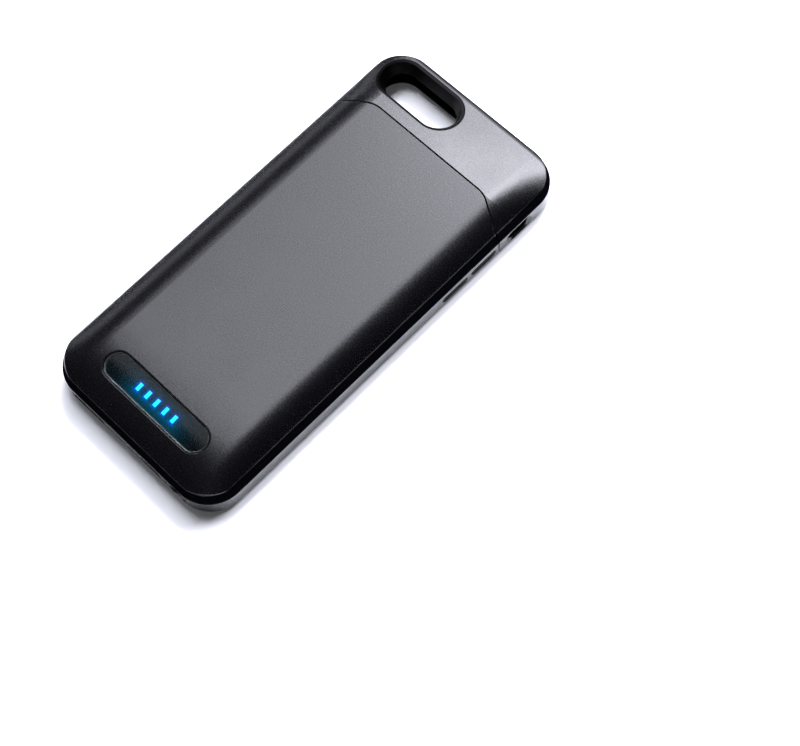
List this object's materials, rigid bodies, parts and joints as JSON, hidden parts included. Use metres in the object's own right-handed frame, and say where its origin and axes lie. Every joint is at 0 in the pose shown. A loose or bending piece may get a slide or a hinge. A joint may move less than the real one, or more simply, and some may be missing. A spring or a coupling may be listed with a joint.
{
  "type": "battery charging case",
  "caption": "Phone sleeve with a crowned battery back, a pull-off top cap with a camera opening, side buttons, a plug in the pocket's foot and a row of charge lights.",
  "frame": {"origin": "centre of the plan outline, on the front rim's plane where the case lies on a table back up", "axes": "+Z out of the crowned back, +Y along the length to the cap and camera end, +X to the side with the volume buttons"},
  "size_m": [0.071, 0.1516, 0.0155],
  "materials": {
    "shell": "satin, fine grain",
    "band": "semi-gloss",
    "chin": "semi-gloss",
    "bezel": "semi-gloss",
    "button": "satin",
    "tray": "satin",
    "window": "polished, dark tint",
    "film": "printed conductor film",
    "mask": "matte black",
    "light": "clear light guide, lit cyan",
    "led": "small lamp",
    "cell": "foil pouch",
    "pad": "foam",
    "board": "solder mask",
    "tab": "plated",
    "screw": "plain",
    "chip": "moulded",
    "capacitor": "ceramic",
    "connector": "moulded",
    "plug": "satin metal",
    "flex": "polyimide"
  },
  "bodies": {
    "sleeve": {"back_shell": "shell", "side_frame": "band", "chin_plate": "chin", "inner_tray": "tray", "indicator_window": "window", "touch_film": "film", "light_mask": "mask", "light_bar_1": "light", "light_bar_2": "light", "light_bar_3": "light", "light_bar_4": "light", "light_bar_5": "light", "status_leds": "led", "battery_cell": "cell", "battery_pad": "pad", "protection_board": "board", "main_board": "board", "dock_board": "board", "battery_tabs": "tab", "dock_contacts": "tab", "board_screws": "screw", "converter_chip": "chip", "power_inductor": "chip", "board_capacitors": "capacitor", "dock_body": "connector", "socket_tongue": "connector", "dock_tongue": "plug", "charging_socket": "plug", "board_flex": "flex"},
    "top_cap": {"cap_shell": "shell", "cap_frame": "band", "camera_bezel": "bezel"},
    "volume_up": {"volume_up_button": "button"},
    "volume_down": {"volume_down_button": "button"},
    "power": {"power_button": "button"}
  },
  "joints": [
    {"name": "cap_slide", "type": "slide", "parent": "sleeve", "child": "top_cap", "axis": [0, 1, 0], "range_m": [0, 0.045]},
    {"name": "volume_up_press", "type": "slide", "parent": "sleeve", "child": "volume_up", "axis": [-1, 0, 0], "range_m": [0, 0.00055], "stiffness_N_per_m": 900},
    {"name": "volume_down_press", "type": "slide", "parent": "sleeve", "child": "volume_down", "axis": [-1, 0, 0], "range_m": [0, 0.00055], "stiffness_N_per_m": 900},
    {"name": "power_press", "type": "slide", "parent": "sleeve", "child": "power", "axis": [1, 0, 0], "range_m": [0, 0.00055], "stiffness_N_per_m": 900}
  ]
}
